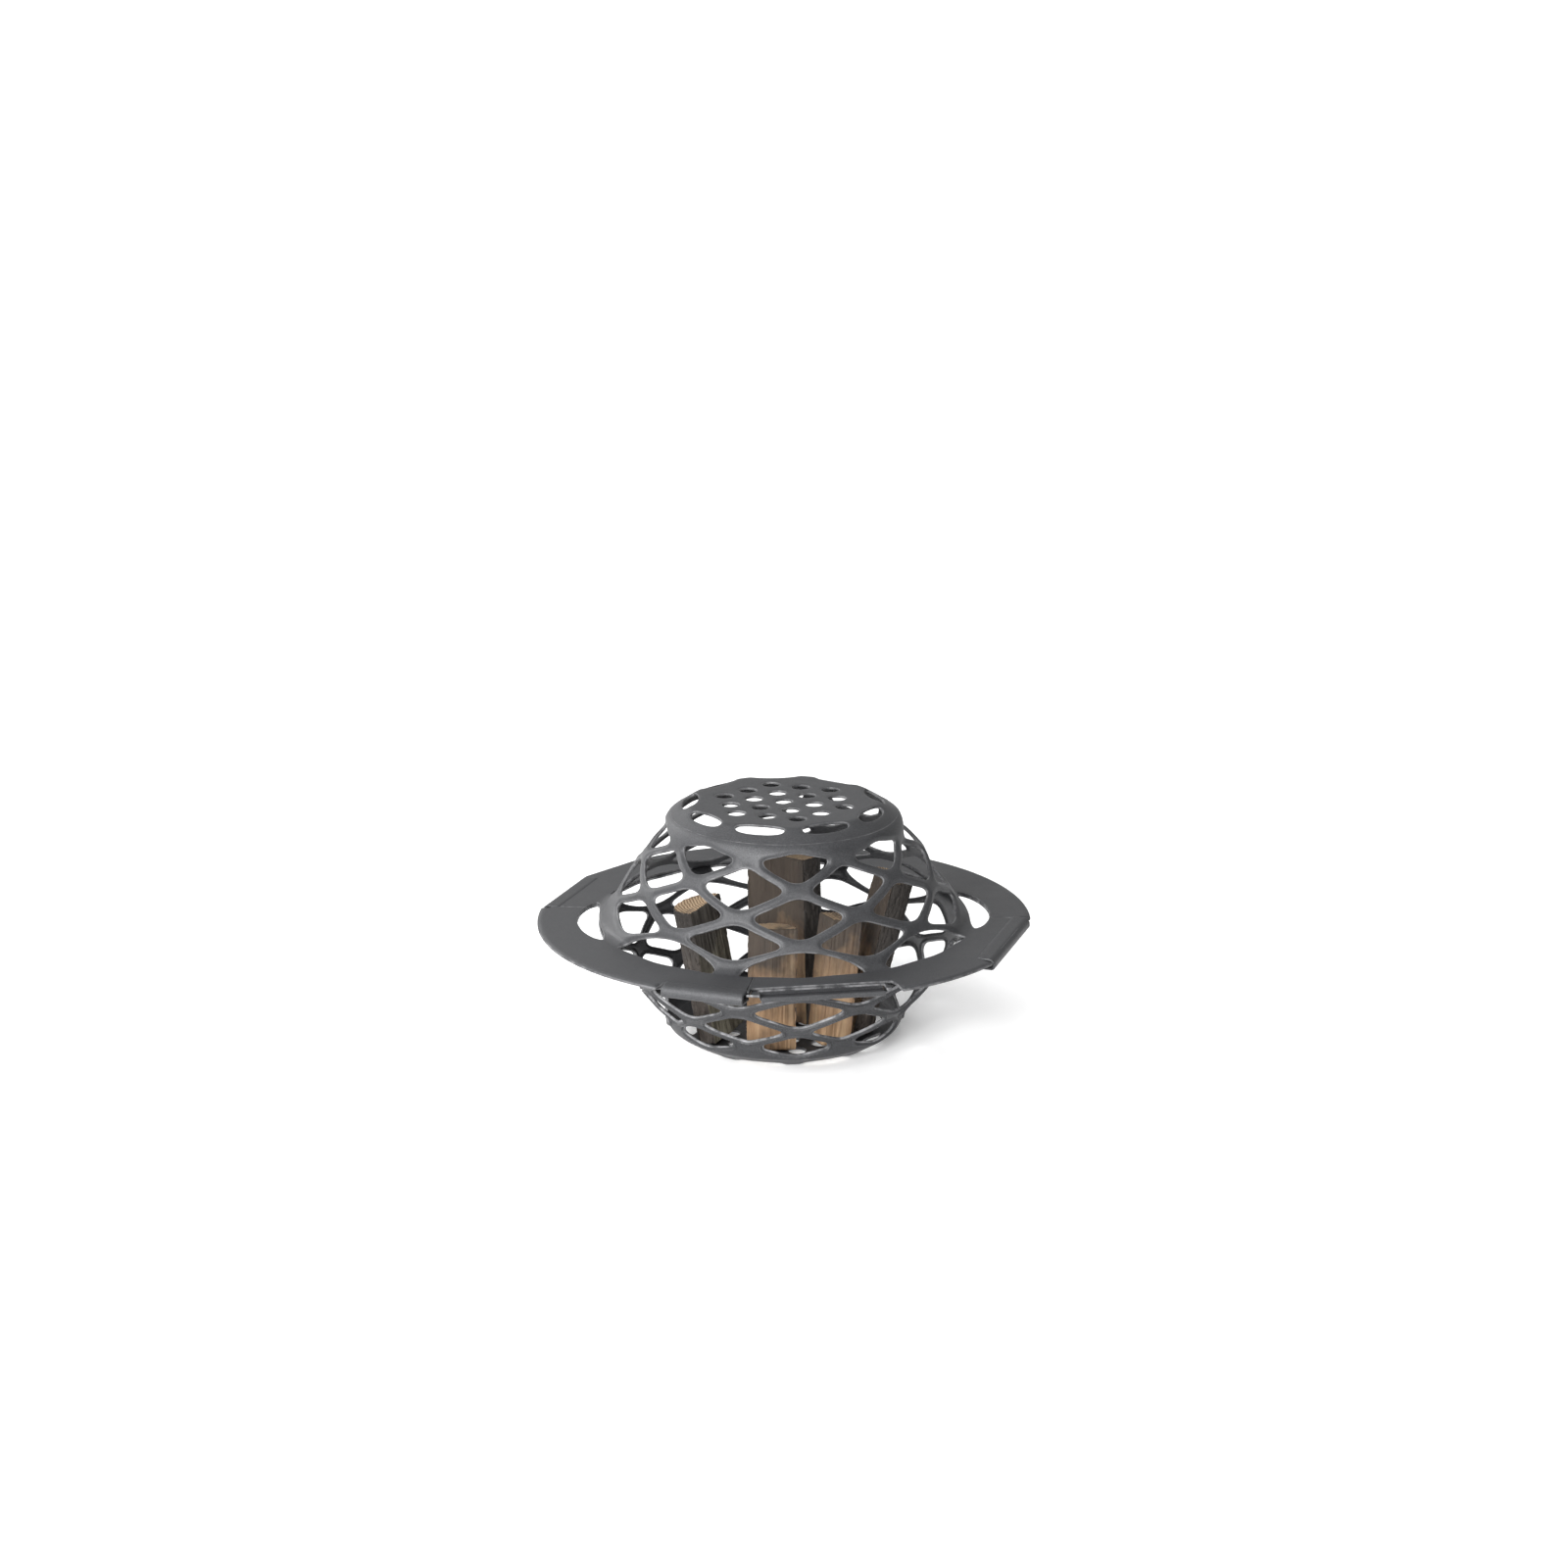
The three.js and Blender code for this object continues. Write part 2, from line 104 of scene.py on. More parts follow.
# The lower brim's stepped lip in the recess: distances outwards, depths below the joint plane, half length.
DISH_ROOT, DISH_FROM, DISH_TO, DISH_DEPTH, DISH_LIP, DISH_HALF = 246.0, 256.0, 277.0, 9.5, 3.0, 72.0
DISH_BEND_R = 2.2
DISH_ROOT_GAP = 6  # the strip starts this far out from the root
DISH_END_GAP = 1.2  # between the lip's ends and the brim

# Round holes on a hexagonal grid, and a ring of eye-shaped slots, in both end plates.
HOLE_R = 10.75
HOLE_PITCH = 38.0
HOLE_GRID_TURN = -18.0
HOLE_GRID_R = 80.0
EYES = 9
EYE_R, EYE_HALF_WIDTH, EYE_HALF_DEPTH = 114.0, 30.0, 10.0
EYE_STEPS = 60
PLATE_STEP = 1.6  # steps of an end plate's grid
PLATE_DRAW, PLATE_DRAW_REACH = 0.55, 2.2  # how far it is drawn in beside an opening, and how far from it

SHARP_ANGLE = math.radians(38)  # faces that meet at more than this keep a sharp edge
EDGE = 0.8  # how far a cut edge is rounded over
# Section of a rounded edge, as shares of EDGE outwards and of half the sheet's thickness up.
EDGE_RING = [
    (0, 1), (0.38, 0.97), (0.72, 0.86), (1, 0.62),
    (1, -0.62), (0.72, -0.86), (0.38, -0.97), (0, -1),
]
SEAM_BACK = 0.45  # each side of a brim seam stands back by this much
BRIM_DRAW = 0.2  # how far a brim is drawn towards the other one beside its cut edges
WALL_FROM, WALL_BLEND = 68, 12  # the wall is drawn in further, from this distance from the rim
UPPER_DRAW, UPPER_DRAW_REACH = 1.8, 3.4  # how much further, and how far from an edge
LOWER_DRAW, LOWER_DRAW_REACH = 0.4, 1.5
BEAD_HEIGHT, BEAD_FROM_EDGE, BEAD_REACH = 2.3, 3.1, 1.7  # raised round the lower half's openings
RIM_ROLL, RIM_ROLL_REACH = 2.1, 6.5  # the upper rim turns down by this much, from this far in
RIM_ROLL_MARGIN, RIM_ROLL_BLEND = 1, 6  # only outside the lower rim and this margin
STRIP_EDGE = 6.0  # a hem or a lip counts as this far from an edge, so it gets none of the painted edge highlight and wear

LOGS = {
    "log_left": dict(x=-70, y=-28, r=36, spread=200, length=170, spin=150, lean=10, towards=-80),
    "log_front": dict(x=-16, y=-78, r=31, spread=170, length=150, spin=85, lean=5, towards=170),
    "log_front_right": dict(x=48, y=-62, r=33, spread=140, length=158, spin=60, lean=6, towards=120),
    "log_right": dict(x=80, y=-2, r=31, spread=210, length=198, spin=20, lean=14, towards=88),
    "log_back": dict(x=4, y=36, r=46, spread=240, length=208, spin=60, lean=4, towards=200),
}
WEATHERED_LOG = "log_left"
LOG_FOOT = SHEET + 0.4
LOG_ROWS = 110
# How fast the noise changes across and along a log.
BARK_GRAIN, FIBRE_GRAIN, SPLINTER_GRAIN, END_GRAIN = (0.11, 0.028), (0.5, 0.02), (0.16, 0.035), (0.35, 1)
CRACK_SHARPNESS = 3.2
END_DENT = 0.35
# Distance from a sawn end, and how far the log's side is drawn in there.
LOG_EASE = [(0, 1.6), (0.5, 0.8), (1.4, 0.25), (2.6, 0)]
END_RINGS = (0.75, 0.5, 0.25)  # of the way out from a sawn end's centre


# ---- Small helpers ------------------------------------------------------------------------------
def outward(azimuth):
    a = np.radians(azimuth)
    return np.stack([np.sin(a), -np.cos(a)], -1)


def sideways(azimuth):
    a = np.radians(azimuth)
    return np.stack([np.cos(a), np.sin(a)], -1)


def smoothstep(x):
    x = np.clip(x, 0, 1)
    return x * x * (3 - 2 * x)


def outline_distance(points, outline):
    """Distance of each point from a closed outline, negative inside it."""
    best = np.full(len(points), np.inf)
    inside = np.zeros(len(points), bool)
    for a, b in zip(outline, np.roll(outline, -1, 0)):
        ab = b - a
        t = np.clip(((points - a) @ ab) / (ab @ ab), 0, 1)
        best = np.minimum(best, np.linalg.norm(points - a - t[:, None] * ab, axis=1))
        crosses = (a[1] > points[:, 1]) != (b[1] > points[:, 1])
        with np.errstate(divide="ignore", invalid="ignore"):
            at = a[0] + (points[:, 1] - a[1]) * ab[0] / ab[1]
        inside ^= crosses & (points[:, 0] < at)
    return np.where(inside, -best, best)


def inset(corners, distance):
    """A convex outline, given anticlockwise, moved in by a distance on every edge."""
    corners = np.array(corners, float)
    along = np.roll(corners, -1, 0) - corners
    along /= np.linalg.norm(along, axis=1)[:, None]
    starts = corners + distance * np.stack([-along[:, 1], along[:, 0]], 1)
    moved = []
    for i in range(len(corners)):
        to = starts[i] - starts[i - 1]
        cross = along[i - 1][0] * along[i][1] - along[i - 1][1] * along[i][0]
        t = (to[0] * along[i][1] - to[1] * along[i][0]) / cross
        moved.append(starts[i - 1] + t * along[i - 1])
    return np.array(moved)


def rounded(corners, share=CORNER_SHARE, steps=8):
    """The same outline with its corners rounded."""
    corners = np.array(corners, float)
    path = []
    for i, p in enumerate(corners):
        start = p + share * (corners[i - 1] - p)
        end = p + share * (corners[(i + 1) % len(corners)] - p)
        for t in np.linspace(0, 1, steps):
            path.append((1 - t) ** 2 * start + 2 * t * (1 - t) * p + t**2 * end)
    return np.array(path)


# ---- The pressed face ---------------------------------------------------------------------------
class Face:
    """The outer face's profile, evenly stepped along its length and softened at the bends."""

    STEP = 0.4

    def __init__(self):
        points = np.array(FACE, float)
        at = np.r_[0, np.cumsum(np.linalg.norm(np.diff(points, axis=0), axis=1))]
        self.s = np.arange(0, at[-1], self.STEP)
        raw = np.stack([np.interp(self.s, at, points[:, k]) for k in (0, 1)], 1)
        reach = int(4 * BEND_SOFTNESS / self.STEP)
        kernel = np.exp(-0.5 * (np.arange(-reach, reach + 1) * self.STEP / BEND_SOFTNESS) ** 2)
        kernel /= kernel.sum()
        before = 2 * raw[0] - raw[reach:0:-1]
        after = 2 * raw[-1] - raw[-2 : -reach - 2 : -1]
        padded = np.concatenate([before, raw, after])
        self.p = np.stack([np.convolve(padded[:, k], kernel, "valid") for k in (0, 1)], 1)
        tangent = np.gradient(self.p, axis=0)
        tangent /= np.linalg.norm(tangent, axis=1)[:, None]
        self.t = tangent
        self.n = np.stack([tangent[:, 1], -tangent[:, 0]], 1)

    def at(self, s):
        """Radius, height, tangent (r, h) and normal (r, h) at distances from the rim."""
        return [np.interp(s, self.s, column) for column in (*self.p.T, *self.t.T, *self.n.T)]

    def s_at_radius(self, r):
        return np.interp(r, self.p[::-1, 0], self.s[::-1])


face = Face()
rising = slice(0, int(RISING_LENGTH / Face.STEP))
PLATE_S = round(float(np.interp(PLATE_HEIGHT, face.p[rising, 1], face.s[rising])) / ROW) * ROW
SPLIT_S = round((UPPER_RIM_R - PETAL_SPLIT_R) / ROW) * ROW
ROWS = round(PLATE_S / ROW)


# ---- A sheet from a field -----------------------------------------------------------------------
# Corners of a grid cell go round as (0,0), (1,0), (1,1), (0,1). Edge k joins corner k to corner k+1.
# A cell's case has bit k set where corner k is inside. In a saddle two corners across from each other are.
SADDLES = (5, 10)


def clip_cells(field, cells):
    """Polygons of the chosen cells where the field is positive, as indices of corners and edge crossings.

    A corner (i, j) has index i * rows + j. A crossing on an edge that starts there has that index plus
    one count of corners for an edge along i, and plus two counts for an edge along j.
    """
    columns, rows = field.shape
    count = columns * rows
    positive = field > 0
    ci, cj = np.nonzero(cells)
    corner = [ci * rows + cj, (ci + 1) * rows + cj, (ci + 1) * rows + cj + 1, ci * rows + cj + 1]
    edge = [corner[0] + count, corner[1] + 2 * count, corner[3] + count, corner[0] + 2 * count]
    flat = positive.ravel()
    case = sum(flat[corner[k]].astype(int) << k for k in range(4))
    polygons = []
    for value in range(1, 16):
        chosen = np.nonzero(case == value)[0]
        if len(chosen) == 0:
            continue
        loops = [[]]
        for k in range(4):
            here, following = value >> k & 1, value >> (k + 1) % 4 & 1
            if here:
                loops[-1].append(corner[k][chosen])
            if here != following:
                loops[-1].append(edge[k][chosen])
                if here and value in SADDLES:
                    loops.append([])
        if value in SADDLES:
            last = loops.pop()
            loops[0] += last
        polygons += [np.stack(loop, 1) for loop in loops]
    return polygons, count


def crossing_points(field, indices, count):
    """Grid coordinates of the corners and crossings with the given indices."""
    rows = field.shape[1]
    base = indices % count
    kind = indices // count
    i, j = base // rows, base % rows
    values = field.ravel()
    here = values[base]
    other = np.where(kind == 1, base + rows, np.where(kind == 2, base + 1, base))
    there = values[np.minimum(other, len(values) - 1)]
    with np.errstate(divide="ignore", invalid="ignore"):
        t = np.where(kind > 0, here / (here - there), 0.0)
    return i + np.where(kind == 1, t, 0), j + np.where(kind == 2, t, 0), kind


def sample(grid, i, j):
    """A grid's values between its points."""
    i0 = np.clip(np.floor(i).astype(int), 0, grid.shape[0] - 2)
    j0 = np.clip(np.floor(j).astype(int), 0, grid.shape[1] - 2)
    fi, fj = i - i0, j - j0
    return (
        grid[i0, j0] * (1 - fi) * (1 - fj)
        + grid[i0 + 1, j0] * fi * (1 - fj)
        + grid[i0, j0 + 1] * (1 - fi) * fj
        + grid[i0 + 1, j0 + 1] * fi * fj
    )


def sheet_mesh(field, cells, place, seam_of=None):
    """A closed sheet over the cells where the field, a distance from the nearest edge, is positive.

    place(i, j) gives the outer face's points and normals, and the directions and lengths of steps
    along i and j. seam_of(i, j) gives, for points on the region's own border, the direction to pull
    back from, or zero.
    """
    rounded_field = field - EDGE
    polygons, count = clip_cells(rounded_field, cells)
    used = np.unique(np.concatenate([p.ravel() for p in polygons]))
    polygons = [np.searchsorted(used, p) for p in polygons]
    gi, gj, kind = crossing_points(rounded_field, used, count)
    outer, normal, along_i, along_j, step_i, step_j = place(gi, gj)

    slope_i, slope_j = np.gradient(field)
    pull = sample(slope_i, gi, gj)[:, None] / step_i[:, None] * along_i
    pull = pull + sample(slope_j, gi, gj)[:, None] / step_j[:, None] * along_j
    pull /= np.maximum(np.linalg.norm(pull, axis=1), 1e-9)[:, None]
    out = np.where((kind > 0)[:, None], -pull, 0.0)
    if seam_of is not None:
        seam = seam_of(gi, gj)
        on_seam = (np.linalg.norm(seam, axis=1) > 0) & (kind == 0)
        out[on_seam] = seam[on_seam]
        outer = outer - np.where(on_seam[:, None], seam * (EDGE + SEAM_BACK), 0)

    middle = outer - normal * SHEET / 2
    top, under = middle + normal * SHEET / 2, middle - normal * SHEET / 2
    size = len(used)

    starts = np.concatenate([p.ravel() for p in polygons])
    ends = np.concatenate([np.roll(p, -1, 1).ravel() for p in polygons])
    forward = starts.astype(np.int64) * size + ends
    border = ~np.isin(forward, ends.astype(np.int64) * size + starts)
    a, b = starts[border], ends[border]
    rim = np.unique(np.r_[a, b])
    rings_round = []
    for reach, lift in EDGE_RING[1:-1]:
        rings_round.append(middle[rim] + out[rim] * (EDGE * reach) + normal[rim] * (lift * SHEET / 2))
    vertices = np.concatenate([top, under, *rings_round])
    order = np.full(size, -1)
    order[rim] = np.arange(len(rim))

    def ring_index(k, at):
        if k == 0:
            return at
        if k == len(EDGE_RING) - 1:
            return at + size
        return 2 * size + (k - 1) * len(rim) + order[at]

    faces = [p.tolist() for p in polygons]
    faces += [(p[:, ::-1] + size).tolist() for p in polygons]
    for k in range(len(EDGE_RING) - 1):
        near_a, near_b = ring_index(k, a), ring_index(k, b)
        far_a, far_b = ring_index(k + 1, a), ring_index(k + 1, b)
        faces.append(np.stack([near_b, near_a, far_a, far_b], 1).tolist())
    away = np.clip(sample(field, gi, gj), 0, FAR)
    edge_distance = np.concatenate([away, away] + [np.zeros(len(rim))] * (len(EDGE_RING) - 2))
    return vertices, [f for group in faces for f in group], edge_distance


def add_mesh(name, vertices, faces, attributes=None):
    mesh = bpy.data.meshes.new(name)
    mesh.from_pydata((np.asarray(vertices) * MM).tolist(), [], faces)
    for key, values in (attributes or {}).items():
        mesh.attributes.new(key, "FLOAT", "POINT").data.foreach_set("value", np.asarray(values, np.float32))
    mesh.validate()
    mesh.shade_smooth()
    mesh.set_sharp_from_angle(angle=SHARP_ANGLE)
    made = bpy.data.objects.new(name, mesh)
    bpy.context.scene.collection.objects.link(made)
    return made


# ---- The fields: how far each point of the sheet is from the nearest cut edge --------------------
def cell_outline(top, middle, bottom):
    r = face.at(middle)[0]
    half = math.radians(CELL / 2) * r
    corners = [(0, top), (half, middle), (0, bottom), (-half, middle)]
    return rounded(inset(corners, STRUT_HALF)), math.radians(1) * r


def lattice_field():
    """Distance from the nearest opening of the lattice, over the whole grid of azimuths and rows."""
    field = np.full((COLUMNS, ROWS + 1), FAR)
    step = 360 / COLUMNS
    s = np.arange(ROWS + 1) * ROW
    reach = int(COLUMN_REACH / step)
    turns = np.arange(-reach, reach + 1) * step

    def lower_to(column_turn, values):
        first = round(column_turn / step)
        at = (first + np.arange(-reach, reach + 1)) % COLUMNS
        field[at] = np.minimum(field[at], values)

    grid_turn, grid_s = np.meshgrid(turns, s, indexing="ij")
    for row in range(len(LEVELS) - 2):
        outline, to_arc = cell_outline(*LEVELS[row : row + 3])
        points = np.stack([grid_turn.ravel() * to_arc, grid_s.ravel()], 1)
        away = outline_distance(points, outline).reshape(grid_turn.shape)
        for column in range(CELLS):
            lower_to(column * CELL - (CELL / 2 if row % 2 == 0 else 0), away)
    radius = face.at(grid_s.ravel())[0]
    points = outward(grid_turn.ravel()) * radius[:, None]
    front_columns = set(range(CELLS)) - set(SIDE_COLUMNS)
    slots = ((SLOT, front_columns, CORNER_SHARE), (SIDE_SLOT, SIDE_COLUMNS, SIDE_CORNER_SHARE))
    for slot, columns, share in slots:
        turn, along = np.array(slot, float).T
        outline = rounded(outward(turn) * face.at(along)[0][:, None], share)
        away = outline_distance(points, outline).reshape(grid_turn.shape)
        for column in columns:
            lower_to(column * CELL, away)
    return field


def grid_azimuths():
    return LATTICE_TURN + np.arange(COLUMNS + 1) * 360 / COLUMNS


def chord(azimuths, radii, azimuth, line):
    """How far inside a straight rim line each point of a grid in azimuth and radius lies."""
    return line - np.cos(np.radians(azimuths - azimuth)) * radii


def turn_between(azimuths, azimuth):
    return np.abs((azimuths - azimuth + 180) % 360 - 180)


def chord_distance(radius, half):
    """How far from the axis a straight line lies that meets a circle at this half angle."""
    return radius * math.cos(math.radians(half))


def outside_corner(a, b):
    """Distance from a corner cut away where both a and b are negative."""
    corner = np.hypot(np.maximum(a, 0), np.maximum(b, 0))
    return np.where(a > 0, np.where(b < 0, a, corner), b)


def upper_rim_field(azimuths, radii):
    inside = UPPER_RIM_R - radii
    for azimuth, half in HEMS:
        line = chord_distance(UPPER_RIM_R, half) - HEM_BEND_R + EDGE
        in_hem = turn_between(azimuths, azimuth) <= half
        hem = np.minimum(inside, chord(azimuths, radii, azimuth, line))
        inside = np.where(in_hem, hem, inside)
        for end in (azimuth - half, azimuth + half):
            across = np.sin(np.radians(azimuths - end)) * radii
            facing = np.cos(np.radians(azimuths - end)) > 0
            narrowing = np.sqrt(np.clip(1 - (UPPER_RIM_R - radii) / HEM_SLIT, 0, 1))
            beyond_tip = np.maximum(UPPER_RIM_R - HEM_SLIT - radii, 0)
            slit = np.hypot(across, beyond_tip) - HEM_SLIT_HALF * narrowing
            inside = np.where(facing, np.minimum(inside, slit), inside)
    azimuth, half = FLAT_RIM
    inside = np.minimum(inside, chord(azimuths, radii, azimuth, chord_distance(UPPER_RIM_R, half)))
    azimuth, half, line = RECESS
    recess = chord(azimuths, radii, azimuth, line)
    beyond = np.radians(turn_between(azimuths, azimuth) - half) * radii
    return np.minimum(inside, outside_corner(beyond, recess))


def lower_rim_field(azimuths, radii):
    inside = LOWER_RIM_R - radii
    for azimuth, half in HEMS:
        turn = turn_between(azimuths - azimuth, TURN_TO_UNLOCK) - half - NOTCH_MARGIN
        inside = np.minimum(inside, outside_corner(np.radians(turn) * radii, NOTCH_R - radii))
    turn = np.radians(azimuths - RECESS[0])
    across = np.abs(np.sin(turn) * radii) - DISH_HALF - DISH_END_GAP
    dish = outside_corner(across, chord(azimuths, radii, RECESS[0], DISH_FROM))
    return np.where(np.cos(turn) > 0, np.minimum(inside, dish), inside)


# ---- The petals ---------------------------------------------------------------------------------
lattice = lattice_field()
lattice = np.concatenate([lattice, lattice[:1]])
azimuths, distances = np.meshgrid(grid_azimuths(), np.arange(ROWS + 1) * ROW, indexing="ij")
radii = face.at(distances.ravel())[0].reshape(distances.shape)


def camber(field, s, upper):
    """How far the sheet is drawn in beside an opening. The lower half has a raised bead round each one."""
    wall = smoothstep((s - WALL_FROM) / WALL_BLEND)  # the brims lie too close together to be drawn in
    if upper:
        return (BRIM_DRAW + UPPER_DRAW * wall) * np.exp(-((field / UPPER_DRAW_REACH) ** 2))
    bead = BEAD_HEIGHT * np.exp(-(((field - BEAD_FROM_EDGE) / BEAD_REACH) ** 2))
    return (BRIM_DRAW + LOWER_DRAW * wall) * np.exp(-((field / LOWER_DRAW_REACH) ** 2)) - bead * wall


def petal_places(upper, rim_field, lattice_part):
    rim_roll = RIM_ROLL if upper else 0

    def place(i, j):
        azimuth = LATTICE_TURN + i * 360 / COLUMNS
        s = j * ROW
        r, h, tr, th, nr, nh = face.at(s)
        drawn = camber(sample(lattice_part, i, j), s, upper)
        rim = sample(rim_field, i, j)
        near_rim = rim_roll * np.clip(1 - rim / RIM_ROLL_REACH, 0, 1) ** 2
        drawn = drawn + near_rim * smoothstep((r - LOWER_RIM_R - RIM_ROLL_MARGIN) / RIM_ROLL_BLEND)
        r, h = r - nr * drawn, h - nh * drawn
        out, across = outward(azimuth), sideways(azimuth)
        points = np.column_stack([out * r[:, None], h])
        normal = np.column_stack([out * nr[:, None], nh])
        along_i = np.column_stack([across, np.zeros(len(r))])
        along_j = np.column_stack([out * tr[:, None], th])
        return points, normal, along_i, along_j, np.radians(360 / COLUMNS) * r, np.full(len(r), ROW)

    return place


def petal_cells(brim_from, brim_to, wall_from, wall_to):
    """Which cells of the grid belong to one petal, from column indices of its seams."""
    column = np.arange(COLUMNS)
    row = np.arange(ROWS)
    brim = (column - brim_from) % COLUMNS < (brim_to - brim_from) % COLUMNS
    wall = (column - wall_from) % COLUMNS < (wall_to - wall_from) % COLUMNS
    return np.where((row * ROW < SPLIT_S)[None, :], brim[:, None], wall[:, None])


def column_of(azimuth):
    return round((azimuth - LATTICE_TURN) / (360 / COLUMNS)) % COLUMNS


def seam_directions(brim_from, brim_to):
    """For points on a petal's two brim seams, the unit direction towards the neighbouring petal."""

    def seam_of(i, j):
        azimuth = LATTICE_TURN + i * 360 / COLUMNS
        across = np.column_stack([sideways(azimuth), np.zeros(len(i))])
        on_brim = (j * ROW <= SPLIT_S - SEAM_STOP)[:, None]
        at_from, at_to = (
            (np.abs((i - seam + COLUMNS / 2) % COLUMNS - COLUMNS / 2) < 1e-6)[:, None]
            for seam in (brim_from, brim_to)
        )
        return np.where(on_brim & at_to, across, 0) - np.where(on_brim & at_from, across, 0)

    return seam_of


def run_mesh(section, azimuth, half_length, steps=40, end_round=0.8):
    """A closed section of distances outwards and heights, run straight across an azimuth."""
    section = np.array(section, float)
    following = np.roll(section, -1, 0)
    along = following - np.roll(section, 1, 0)
    inward = np.stack([-along[:, 1], along[:, 0]], 1)
    inward /= np.maximum(np.linalg.norm(inward, axis=1), 1e-9)[:, None]
    area = np.sum(section[:, 0] * following[:, 1] - following[:, 0] * section[:, 1])
    inward *= math.copysign(1, area)
    eased, straight = 0.3 * end_round, half_length - end_round
    positions = [(-half_length, end_round), (-half_length + eased, eased)]
    positions += [(v, 0) for v in np.linspace(-straight, straight, steps)]
    positions += [(half_length - eased, eased), (half_length, end_round)]
    out, side = outward(azimuth), sideways(azimuth)
    vertices = []
    for v, shrink in positions:
        ring = section + inward * shrink
        vertices.append(np.column_stack([ring[:, :1] * out + v * side, ring[:, 1]]))
    count, faces = len(section), []
    for k in range(len(positions) - 1):
        for m in range(count):
            n = (m + 1) % count
            quad = [k * count + m, k * count + n, (k + 1) * count + n, (k + 1) * count + m]
            faces.append(quad if area < 0 else quad[::-1])
    first, last = list(range(count)), [(len(positions) - 1) * count + m for m in range(count)]
    faces += [first[::-1], last] if area < 0 else [first, last[::-1]]
    return np.concatenate(vertices), faces


def ribbon(path, thickness, corner=0.8):
    """A strip's closed section from its middle line: both faces, with the two ends rounded."""
    path = np.array(path, float)
    ahead = np.gradient(path, axis=0)
    ahead /= np.linalg.norm(ahead, axis=1)[:, None]
    left = np.stack([-ahead[:, 1], ahead[:, 0]], 1)
    half = thickness / 2
    upper, lower = path + left * half, path - left * half
    turn = np.linspace(0, math.pi, 7)[1:-1]
    start = [path[0] - ahead[0] * corner * math.sin(t) + left[0] * -half * math.cos(t) for t in turn]
    end = [path[-1] + ahead[-1] * corner * math.sin(t) + left[-1] * half * math.cos(t) for t in turn]
    return np.concatenate([upper, end, lower[::-1], start])


def arc(centre, r, start, stop, steps=10):
    t = np.radians(np.linspace(start, stop, steps))
    return [(centre[0] + r * math.cos(a), centre[1] + r * math.sin(a)) for a in t]


def hem_section(line):
    """An upper brim's flap: it stands proud of the brim, folds over at the line and runs back in."""
    middle_r = HEM_BEND_R - SHEET / 2
    bend = line - HEM_BEND_R
    top = BRIM_TOP - SHEET / 2
    low = SHEET / 2 - HEM_DEPTH
    fold = line - HEM_FOLD_R - SHEET / 2
    crest = top + HEM_RISE
    root = line - HEM_ROOT
    path = [(root - HEM_BLEND, top - 0.5), (root, top + 0.5 * HEM_RISE)]
    path += [(x, crest) for x in np.linspace(root + HEM_BLEND, fold - HEM_BLEND, 5)]
    path += arc((fold, crest - HEM_FOLD_R), HEM_FOLD_R, 90, 0, 14)
    path += arc((bend, low + middle_r), middle_r, 0, -90)
    path += [(x, low) for x in np.linspace(bend - 2, line - HEM_LIP, 6)]
    return ribbon(path, SHEET)


def dish_section():
    """The lower brim's lip at the front: it steps down, runs out and turns up again."""
    mid = BRIM_GAP + SHEET / 2
    low = DISH_DEPTH - SHEET / 2
    wall, end = DISH_FROM - SHEET / 2, DISH_TO - SHEET / 2
    r = DISH_BEND_R
    path = [(DISH_ROOT + DISH_ROOT_GAP, mid), (wall - r, mid)]
    path += arc((wall - r, mid + r), r, -90, 0, 6)
    path += arc((wall + r, low - r), r, 180, 90, 6)
    path += arc((end - r, low - r), r, 90, 0, 6)
    path += [(end, DISH_LIP + 1.5), (end + 0.3, DISH_LIP + 0.5)]
    return ribbon(path, SHEET)


def petals(prefix, upper, brim_seams, extras):
    """The four petals of a half, each with the hem or lip that extras holds for it."""
    rim = (upper_rim_field if upper else lower_rim_field)(azimuths, radii)
    field = np.minimum(lattice, rim)
    quarter = COLUMNS // 4
    place = petal_places(upper, rim, lattice)
    made = []
    for number, seam in enumerate(brim_seams):
        brim_from, brim_to = column_of(brim_seams[number - 1]), column_of(seam)
        wall_to = column_of(LATTICE_TURN + (number - 1) * 90)
        cells = petal_cells(brim_from, brim_to, (wall_to - quarter) % COLUMNS, wall_to)
        vertices, faces, edge = sheet_mesh(field, cells, place, seam_directions(brim_from, brim_to))
        for more, more_faces in extras[number]:
            faces += [[index + len(vertices) for index in f] for f in more_faces]
            vertices = np.concatenate([vertices, more])
            edge = np.r_[edge, np.full(len(more), STRIP_EDGE)]
        made.append(stand(f"{prefix}_petal_{number + 1}", vertices, faces, edge, upper))
    return made


def stand(name, vertices, faces, edge, upper):
    """A half's piece, from heights above the joint plane to its place: the lower half is mirrored."""
    vertices = vertices.copy()
    vertices[:, 2] = HALF_HEIGHT + (vertices[:, 2] if upper else -vertices[:, 2])
    if not upper:
        faces = [f[::-1] for f in faces]
    return add_mesh(name + "_steel", vertices, faces, {"edge_mm": edge})


